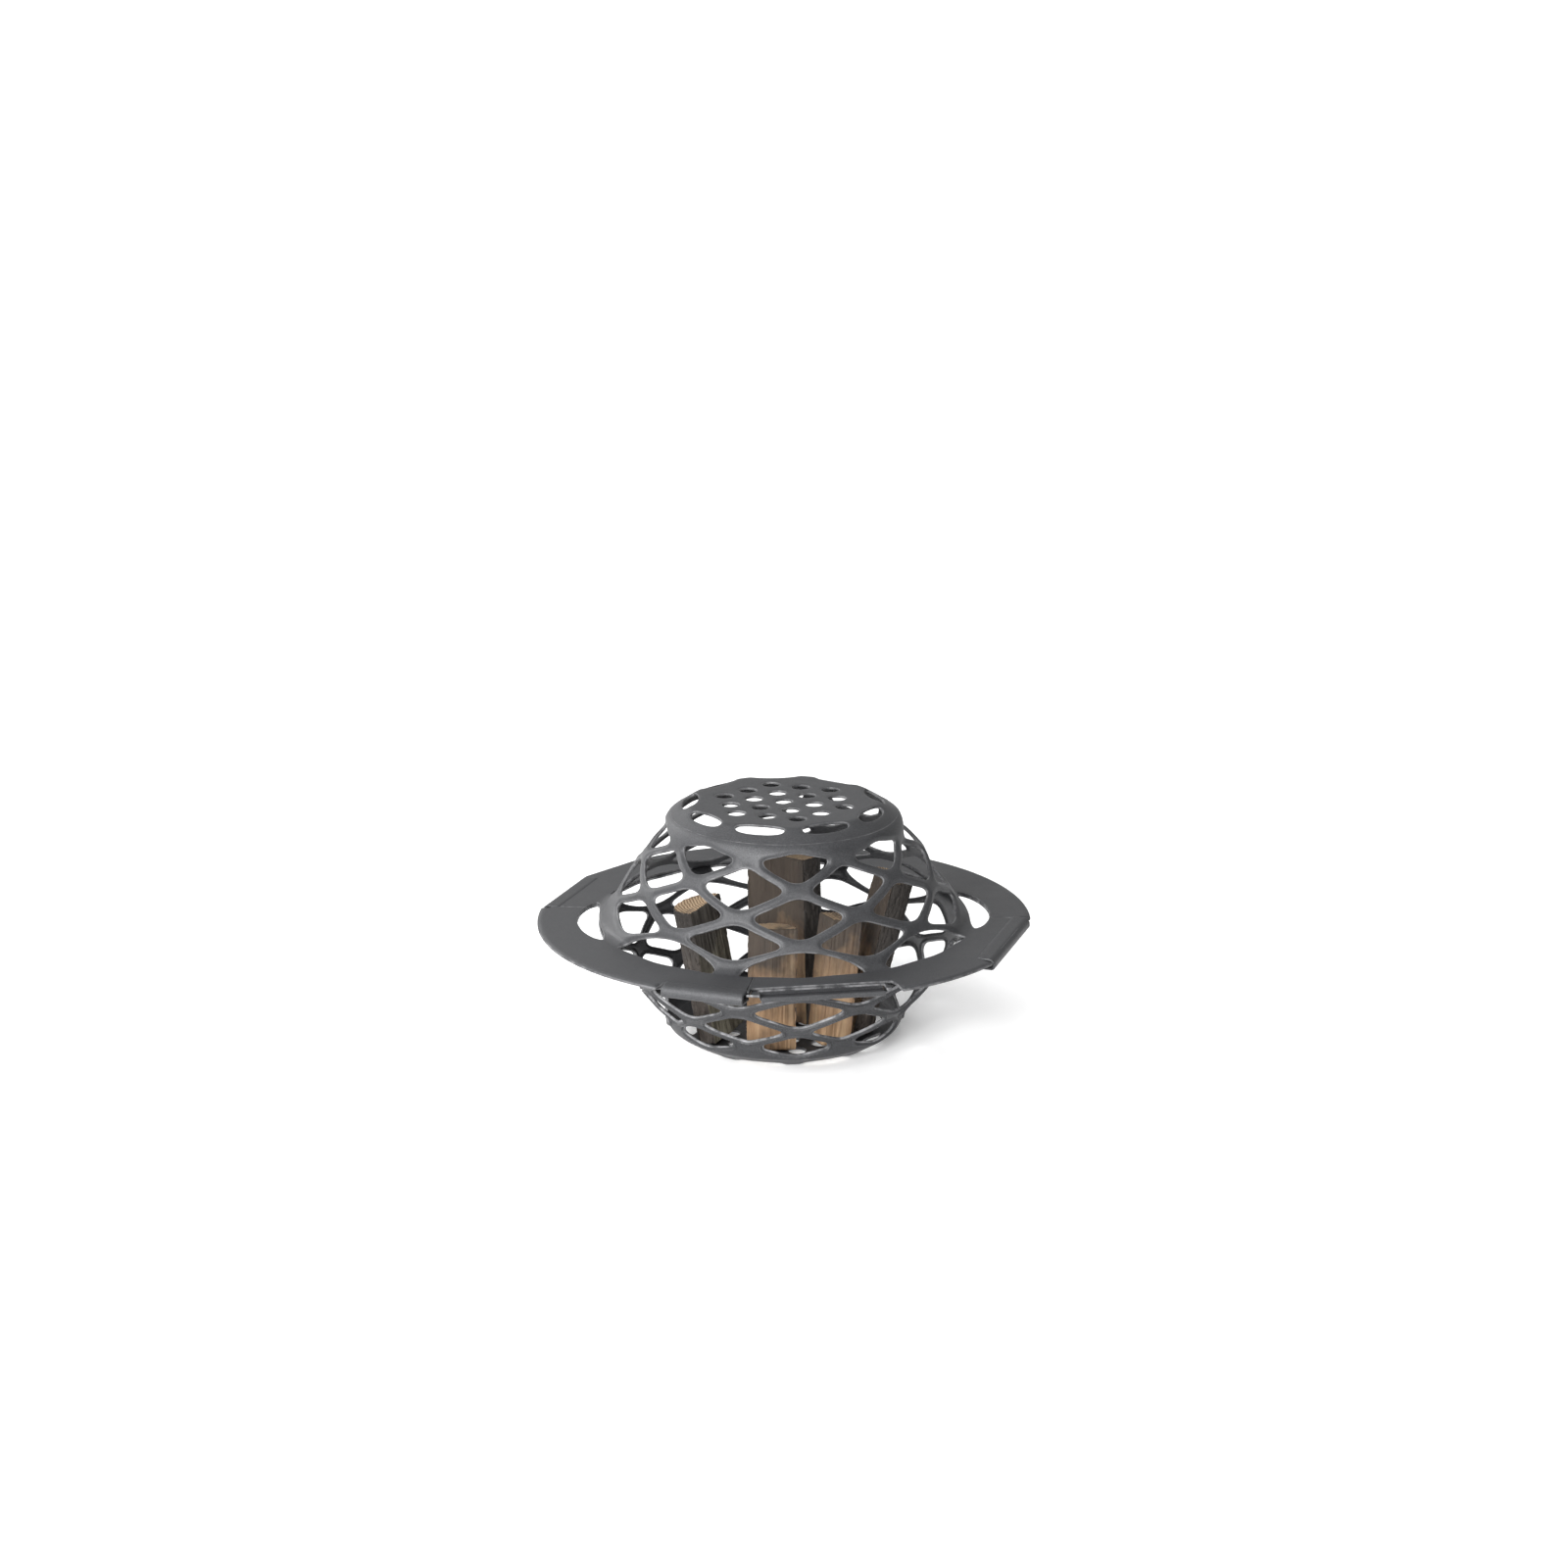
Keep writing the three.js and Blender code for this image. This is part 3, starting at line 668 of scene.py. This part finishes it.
# ---- The end plates -----------------------------------------------------------------------------
def plate(name, upper):
    outer_r = float(face.at(PLATE_S)[0])
    reach = math.ceil((outer_r + 4) / PLATE_STEP)
    line = np.arange(-reach, reach + 1) * PLATE_STEP
    x, y = np.meshgrid(line, line, indexing="ij")
    points = np.column_stack([x.ravel(), y.ravel()])
    openings = np.full(len(points), FAR)
    turn = math.radians(HOLE_GRID_TURN)
    cells = math.ceil(HOLE_GRID_R / HOLE_PITCH) + 1
    for i in range(-cells, cells + 1):
        for j in range(-cells, cells + 1):
            u, v = HOLE_PITCH * (i + j / 2), HOLE_PITCH * j * math.sqrt(3) / 2
            if math.hypot(u, v) <= HOLE_GRID_R:
                at = (u * math.cos(turn) - v * math.sin(turn), u * math.sin(turn) + v * math.cos(turn))
                openings = np.minimum(openings, np.hypot(*(points - at).T) - HOLE_R)
    t = np.linspace(0, 2 * math.pi, EYE_STEPS, endpoint=False)
    for i in range(EYES):
        azimuth = LATTICE_TURN + (i + 0.5) * 360 / EYES
        out, side = outward(azimuth), sideways(azimuth)
        eye = EYE_R * out + np.outer(np.cos(t) * EYE_HALF_WIDTH, side)
        eye = eye + np.outer(np.sin(t) * EYE_HALF_DEPTH, out)
        openings = np.minimum(openings, outline_distance(points, eye))
    openings = openings.reshape(x.shape)
    border = outer_r - np.hypot(x, y)
    field = np.minimum(openings, border + EDGE)

    def place(i, j):
        px, py = (i - reach) * PLATE_STEP, (j - reach) * PLATE_STEP
        r = np.maximum(np.hypot(px, py), 1e-6)
        s = face.s_at_radius(r)
        _, h, _, _, nr, nh = face.at(s)
        out = np.column_stack([px / r, py / r])
        drawn = PLATE_DRAW * np.exp(-((sample(openings, i, j) / PLATE_DRAW_REACH) ** 2))
        normal = np.column_stack([out * nr[:, None], nh])
        flat = np.column_stack([px, py, h]) - normal * drawn[:, None]
        along_i = np.tile([1.0, 0, 0], (len(r), 1))
        along_j = np.tile([0, 1.0, 0], (len(r), 1))
        steps = np.full(len(r), PLATE_STEP)
        return flat, normal, along_i, along_j, steps, steps

    vertices, faces, edge = sheet_mesh(field, np.ones((len(line) - 1,) * 2, bool), place)
    return stand(name, vertices, faces, edge, upper)


# ---- Split logs ---------------------------------------------------------------------------------
def log_outline(r, spread, steps=150):
    """A round of wood with a wedge split away: its points, their inward directions, and which are bark."""
    half = math.radians(spread / 2)
    bark = [(r * math.cos(a), r * math.sin(a)) for a in np.linspace(-half, half, 40)]
    corners = np.array([(-r / 4, 0)] + bark + [(-r / 4, 0)])
    at = np.r_[0, np.cumsum(np.linalg.norm(np.diff(corners, axis=0), axis=1))]
    even = np.linspace(0, at[-1], steps, endpoint=False)
    points = np.stack([np.interp(even, at, corners[:, k]) for k in (0, 1)], 1)
    barked = ((even > at[1]) & (even < at[-2])).astype(float)
    kernel = np.array([1, 2, 3, 2, 1]) / 9
    soft = np.stack([np.convolve(np.r_[p[-2:], p, p[:2]], kernel, "valid") for p in points.T], 1)
    along = np.roll(soft, -1, 0) - np.roll(soft, 1, 0)
    inward = np.stack([-along[:, 1], along[:, 0]], 1)
    inward /= np.linalg.norm(inward, axis=1)[:, None]
    return soft, inward, barked


def grained(x, y, z, grain):
    across, along = grain
    return Vector((x * across, y * across, z * along))


def log_sides(length, outline, inward, barked, seed):
    """The log's side, as rings of points from its foot up, with ridged bark and splintered faces."""
    near_end, drawn_in = np.array(LOG_EASE).T
    heights = np.concatenate([
        near_end[:-1],
        np.linspace(near_end[-1], length - near_end[-1], LOG_ROWS),
        length - near_end[-2::-1],
    ])
    eases = np.interp(np.minimum(heights, length - heights), near_end, drawn_in)
    vertices = []
    for z, ease in zip(heights, eases):
        for (px, py), (ix, iy), bark in zip(outline, inward, barked):
            if bark:
                plates = noise.fractal(grained(px, py, z, BARK_GRAIN) + seed, 1, 2, 4)
                crack = 1 - min(1, abs(plates) * CRACK_SHARPNESS)
                rough = noise.noise(Vector((px, py, z)) * 0.45 + seed)
                depth = 0.6 + 2.6 * crack**2 + 0.5 * rough
            else:
                fibre = noise.noise(grained(px, py, z, FIBRE_GRAIN) + seed)
                splinter = noise.noise(grained(px, py, z, SPLINTER_GRAIN) + seed * 2)
                depth = 1.5 + 0.9 * fibre + 1.3 * splinter
            depth = max(0.1, depth) + ease
            vertices.append((px + ix * depth, py + iy * depth, z))
    return vertices


def add_log_end(vertices, first, count, centre, seed, top):
    """Adds a sawn end's points, inside the ring of points that starts at first, and gives its faces."""
    faces = []
    z = vertices[first][2]
    before = range(first, first + count)
    for share in END_RINGS:
        start = len(vertices)
        for px, py, _ in vertices[first : first + count]:
            qx, qy = centre + (np.array([px, py]) - centre) * share
            dent = abs(END_DENT * noise.noise(grained(qx, qy, z, END_GRAIN) + seed))
            vertices.append((qx, qy, z - dent if top else z + dent))
        ring = range(start, start + count)
        for m in range(count):
            n = (m + 1) % count
            faces.append([before[m], before[n], ring[n], ring[m]])
        before = ring
    hub = len(vertices)
    vertices.append((*centre, z))
    faces += [[before[m], before[(m + 1) % count], hub] for m in range(count)]
    return faces if top else [f[::-1] for f in faces]


def log_piece(name, x, y, r, spread, length, spin, lean, towards):
    outline, inward, barked = log_outline(r, spread)
    seed = Vector((x, y, r))
    vertices = log_sides(length, outline, inward, barked, seed)
    count = len(outline)
    last = len(vertices) - count
    faces, kinds = [], []
    for low in range(0, last, count):
        high = low + count
        for m in range(count):
            n = (m + 1) % count
            faces.append([low + m, low + n, high + n, high + m])
            kinds.append(0 if barked[m] and barked[n] else 1)
    for first in (0, last):
        faces += add_log_end(vertices, first, count, outline.mean(0), seed, first == last)
    kinds += [2] * (len(faces) - len(kinds))
    tilt = Matrix.Rotation(math.radians(-lean), 3, Vector((*(-sideways(towards)), 0)))
    turned = tilt @ Matrix.Rotation(math.radians(spin), 3, "Z")
    points = np.array(vertices) @ np.array(turned).T
    points += (x, y, LOG_FOOT - points[:, 2].min())
    made = add_mesh(name + "_wood", points, faces)
    for index, kind in enumerate(kinds):
        made.data.polygons[index].material_index = kind
    return made


# ---- Materials ----------------------------------------------------------------------------------
def material(name):
    made = bpy.data.materials.new(name)
    made.use_nodes = True
    tree = made.node_tree
    return made, tree, tree.nodes["Principled BSDF"]


def node(tree, kind, **values):
    made = tree.nodes.new(kind)
    for key, value in values.items():
        if hasattr(made, key):
            setattr(made, key, value)
        else:
            made.inputs[key].default_value = value
    return made


def noise_at(tree, source, scale, detail=4.0, roughness=0.55, stretch=(1, 1, 1)):
    mapping = node(tree, "ShaderNodeMapping")
    mapping.inputs["Scale"].default_value = stretch
    tree.links.new(source, mapping.inputs["Vector"])
    made = node(tree, "ShaderNodeTexNoise", Scale=scale, Detail=detail, Roughness=roughness)
    tree.links.new(mapping.outputs["Vector"], made.inputs["Vector"])
    return made.outputs["Fac"]


def ramp(tree, value, stops):
    made = node(tree, "ShaderNodeValToRGB")
    elements = made.color_ramp.elements
    while len(elements) < len(stops):
        elements.new(0.5)
    for element, (at, colour) in zip(elements, stops):
        element.position = at
        element.color = (*colour, 1) if len(colour) == 3 else colour
    tree.links.new(value, made.inputs["Fac"])
    return made.outputs["Color"]


def grey(value):
    return (value, value, value)


def mixed(tree, factor, a, b, how="MIX"):
    made = node(tree, "ShaderNodeMix", data_type="RGBA", blend_type=how)
    for socket, value in ((made.inputs[0], factor), (made.inputs[6], a), (made.inputs[7], b)):
        if isinstance(value, (int, float)):
            socket.default_value = value
        elif isinstance(value, tuple):
            socket.default_value = (*value, 1)
        else:
            tree.links.new(value, socket)
    return made.outputs[2]


def maths(tree, how, a, b=0.0, clamp=False):
    made = node(tree, "ShaderNodeMath", operation=how)
    made.use_clamp = clamp
    for socket, value in zip(made.inputs, (a, b)):
        if isinstance(value, (int, float)):
            socket.default_value = value
        else:
            tree.links.new(value, socket)
    return made.outputs[0]


def bump(tree, height, strength, distance, after=None):
    made = node(tree, "ShaderNodeBump", Strength=strength, Distance=distance)
    tree.links.new(height, made.inputs["Height"])
    if after is not None:
        tree.links.new(after, made.inputs["Normal"])
    return made.outputs["Normal"]


COOL_TINT = (0.97, 0.985, 1.05)
EDGE_HIGHLIGHT_AND_WEAR_WIDTH = 1.4  # millimetres from a cut edge, how far the painted edge highlight and wear reach
SOOT = (0.02, 0.0165, 0.014)
END_SOOT = (0.02, 0.017, 0.015)


def painted_steel(name, edge_highlight_and_wear_tone):
    """Speckled satin paint, lighter in places along the cut edges: painted highlight, and partly wear."""
    made, tree, shader = material(name)
    where = node(tree, "ShaderNodeTexCoord").outputs["Object"]
    speckle = noise_at(tree, where, 900, 2, 0.6)
    cloud = noise_at(tree, where, 14, 4, 0.6)
    flecks = ramp(tree, speckle, [(0.36, grey(0.019)), (0.5, grey(0.032)), (0.64, grey(0.052))])
    base = mixed(tree, 1.0, flecks, COOL_TINT, "MULTIPLY")
    patches = ramp(tree, cloud, [(0.35, (0.017, 0.0175, 0.0195)), (0.65, (0.049, 0.05, 0.054))])
    base = mixed(tree, 0.25, base, patches)
    edge = node(tree, "ShaderNodeAttribute", attribute_name="edge_mm").outputs["Fac"]
    # painted highlight, and partly wear: the colour is lightened near the cut edges, broken up in patches
    # by noise
    edge_highlight_and_wear_patches = noise_at(tree, where, 60, 3, 0.7)
    near = maths(tree, "SUBTRACT", 1.0, maths(tree, "DIVIDE", edge, EDGE_HIGHLIGHT_AND_WEAR_WIDTH), True)
    edge_highlight_and_wear = maths(tree, "MULTIPLY", near, ramp(tree, edge_highlight_and_wear_patches, [(0.4, grey(0.1)), (0.62, grey(0.9))]))
    base = mixed(tree, edge_highlight_and_wear, base, (edge_highlight_and_wear_tone, edge_highlight_and_wear_tone, 1.03 * edge_highlight_and_wear_tone))
    tree.links.new(base, shader.inputs["Base Color"])
    shader.inputs["Metallic"].default_value = 0.25
    shader.inputs["Specular IOR Level"].default_value = 0.38
    rough = ramp(tree, cloud, [(0.3, grey(0.44)), (0.7, grey(0.58))])
    tree.links.new(rough, shader.inputs["Roughness"])
    fine = bump(tree, speckle, 0.18, 0.0004)
    tree.links.new(bump(tree, cloud, 0.08, 0.002, fine), shader.inputs["Normal"])
    return made


def wood(name, dark, mid, light, stretch, char):
    """Grain in three tones, sooty in patches and towards the log's top."""
    made, tree, shader = material(name)
    where = node(tree, "ShaderNodeTexCoord").outputs["Object"]
    grain = noise_at(tree, where, 55, 6, 0.65, stretch)
    broad = noise_at(tree, where, 16, 4, 0.6)
    colour = ramp(tree, grain, [(0.3, dark), (0.5, mid), (0.72, light)])
    burnt = ramp(tree, broad, [(0.5 - char / 4, grey(1)), (0.62 - char / 4, grey(0))])
    soot = maths(tree, "MULTIPLY", burnt, char)
    height = node(tree, "ShaderNodeSeparateXYZ")
    tree.links.new(where, height.inputs[0])
    risen = maths(tree, "MULTIPLY", height.outputs["Z"], 5.0)
    level = maths(tree, "ADD", risen, maths(tree, "MULTIPLY", broad, 0.9))
    above = maths(tree, "SUBTRACT", level, 0.62, True)
    rising = ramp(tree, above, [(0.05, grey(0)), (0.5, grey(0.93))])
    soot = maths(tree, "MAXIMUM", soot, rising)
    colour = mixed(tree, soot, colour, SOOT)
    tree.links.new(colour, shader.inputs["Base Color"])
    shader.inputs["Roughness"].default_value = 0.8
    tree.links.new(bump(tree, grain, 0.6, 0.002), shader.inputs["Normal"])
    return made


def rings(name):
    """Growth rings of a sawn end, sooty in patches."""
    made, tree, shader = material(name)
    where = node(tree, "ShaderNodeTexCoord").outputs["Object"]
    wave = node(tree, "ShaderNodeTexWave", wave_type="RINGS", rings_direction="Z")
    for key, value in (("Scale", 90), ("Distortion", 4), ("Detail", 3)):
        wave.inputs[key].default_value = value
    tree.links.new(where, wave.inputs["Vector"])
    tones = [(0.2, (0.16, 0.1, 0.055)), (0.6, (0.36, 0.25, 0.15)), (0.9, (0.42, 0.31, 0.2))]
    colour = ramp(tree, wave.outputs["Fac"], tones)
    soot = ramp(tree, noise_at(tree, where, 30, 4, 0.6), [(0.45, grey(0)), (0.62, grey(0.8))])
    colour = mixed(tree, soot, colour, END_SOOT)
    tree.links.new(colour, shader.inputs["Base Color"])
    shader.inputs["Roughness"].default_value = 0.9
    tree.links.new(bump(tree, wave.outputs["Fac"], 0.3, 0.0008), shader.inputs["Normal"])
    return made


# ---- Build --------------------------------------------------------------------------------------
def hem_piece(azimuth, half):
    half_length = UPPER_RIM_R * math.sin(math.radians(half)) - HEM_END_GAP
    return run_mesh(hem_section(chord_distance(UPPER_RIM_R, half)), azimuth, half_length)


# the second value is the tone of the painted edge highlight and wear; the lower half's is lighter, standing
# in for the light caught by its lips
upper_paint = painted_steel("painted_steel", 0.12)
lower_paint = painted_steel("rubbed_steel", 0.27)
upper_seams = [azimuth + half for azimuth, half in HEMS]
lower_seams = [LOWER_BRIM_SEAM + (number - 1) * 90 for number in range(4)]
hems = [[hem_piece(azimuth, half)] for azimuth, half in HEMS]
dish = run_mesh(dish_section(), RECESS[0], DISH_HALF)
upper_steel = petals("upper", True, upper_seams, hems) + [plate("crown_plate", True)]
lower_steel = petals("lower", False, lower_seams, [[], [], [dish], []]) + [plate("floor_plate", False)]
steel = (("upper_half", upper_steel, upper_paint), ("lower_half", lower_steel, lower_paint))
for body, group, paint in steel:
    for piece in group:
        piece.data.materials.append(paint)
        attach(piece, body)
        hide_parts(piece.name.removesuffix("_steel"))

bark = wood(
    "bark",
    dark=(0.018, 0.014, 0.012),
    mid=(0.06, 0.048, 0.04),
    light=(0.15, 0.125, 0.105),
    stretch=(1, 1, 0.25),
    char=0.4,
)
fresh_split = wood(
    "split_face",
    dark=(0.12, 0.07, 0.035),
    mid=(0.27, 0.165, 0.09),
    light=(0.42, 0.29, 0.17),
    stretch=(1, 1, 0.08),
    char=0.55,
)
weathered_split = wood(
    "weathered_face",
    dark=(0.07, 0.06, 0.042),
    mid=(0.17, 0.155, 0.115),
    light=(0.3, 0.275, 0.21),
    stretch=(1, 1, 0.1),
    char=0.15,
)
sawn = rings("sawn_end")
for name, shape in LOGS.items():
    piece = log_piece(name, **shape)
    split = weathered_split if name == WEATHERED_LOG else fresh_split
    for log_material in (bark, split, sawn):
        piece.data.materials.append(log_material)
    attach(piece, "lower_half")
    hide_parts(name)

# ---- Stage --------------------------------------------------------------------------------------
RIM_CENTRE = Vector((0, 0, HALF_HEIGHT * MM))
FLOOR_HALF = 80
FLOOR_GLOW = 0.16
WORLD_STRENGTH = 1.2
WORLD_LEFT, WORLD_RIGHT = 1.0, 0.34
SOFTBOXES = [  # name, place, diameter, watts
    ("key", (-1.3, -0.9, 1.2), 0.9, 26),
    ("front", (-0.9, -2.7, 1.0), 1.4, 125),
    ("kicker", (-1.4, 1.1, 0.9), 0.9, 12),
]
OVERCAST_STRENGTH = 0.7
OVERCAST_ANGLE = math.radians(70)
OVERCAST_FROM = Vector((-0.7, -0.1, 1.8))
CAMERA_LENS = 75.3
CAMERA_SENSOR = 36
CAMERA_DISTANCE = 4.0
CAMERA_ELEVATION = math.radians(18.2)
CAMERA_PITCH = math.radians(15.87)

corners = [(x * FLOOR_HALF, y * FLOOR_HALF, 0) for x, y in ((-1, -1), (1, -1), (1, 1), (-1, 1))]
floor_mesh = bpy.data.meshes.new("floor")
floor_mesh.from_pydata(corners, [], [(0, 1, 2, 3)])
floor = bpy.data.objects.new("floor", floor_mesh)
bpy.context.scene.collection.objects.link(floor)
floor_paint, _, floor_shader = material("pale_floor")
floor_shader.inputs["Base Color"].default_value = (0.93, 0.93, 0.93, 1)
floor_shader.inputs["Roughness"].default_value = 0.9
floor_shader.inputs["Emission Color"].default_value = (1, 1, 1, 1)
floor_shader.inputs["Emission Strength"].default_value = FLOOR_GLOW
floor.data.materials.append(floor_paint)

world = bpy.data.worlds.new("studio")
world.use_nodes = True
sky = world.node_tree
direction = node(sky, "ShaderNodeSeparateXYZ")
sky.links.new(node(sky, "ShaderNodeTexCoord").outputs["Generated"], direction.inputs[0])
from_left = maths(sky, "ADD", maths(sky, "MULTIPLY", direction.outputs["X"], 0.5), 0.5)
sky_tone = ramp(sky, from_left, [(0.05, grey(WORLD_LEFT)), (0.95, grey(WORLD_RIGHT))])
sky.links.new(sky_tone, sky.nodes["Background"].inputs["Color"])
sky.nodes["Background"].inputs["Strength"].default_value = WORLD_STRENGTH
bpy.context.scene.world = world


def softbox(name, place, size, power):
    light = bpy.data.lights.new(name, "AREA")
    light.shape = "DISK"
    light.size = size
    light.energy = power
    lamp = bpy.data.objects.new(name, light)
    lamp.location = place
    lamp.rotation_euler = (RIM_CENTRE - Vector(place)).to_track_quat("-Z", "Y").to_euler()
    bpy.context.scene.collection.objects.link(lamp)


for name, place, size, power in SOFTBOXES:
    softbox(name, place, size, power)

overcast = bpy.data.lights.new("overcast", "SUN")
overcast.energy = OVERCAST_STRENGTH
overcast.angle = OVERCAST_ANGLE
sun = bpy.data.objects.new("overcast", overcast)
sun.rotation_euler = OVERCAST_FROM.to_track_quat("Z", "Y").to_euler()
bpy.context.scene.collection.objects.link(sun)

camera = bpy.data.objects.new("camera", bpy.data.cameras.new("camera"))
camera.data.lens = CAMERA_LENS
camera.data.sensor_width = CAMERA_SENSOR
camera_from = Vector((0, -math.cos(CAMERA_ELEVATION), math.sin(CAMERA_ELEVATION)))
camera.location = RIM_CENTRE + CAMERA_DISTANCE * camera_from
camera.rotation_euler = (math.pi / 2 - CAMERA_PITCH, 0, 0)
bpy.context.scene.collection.objects.link(camera)
bpy.context.scene.camera = camera
bpy.context.scene.view_settings.view_transform = "Standard"
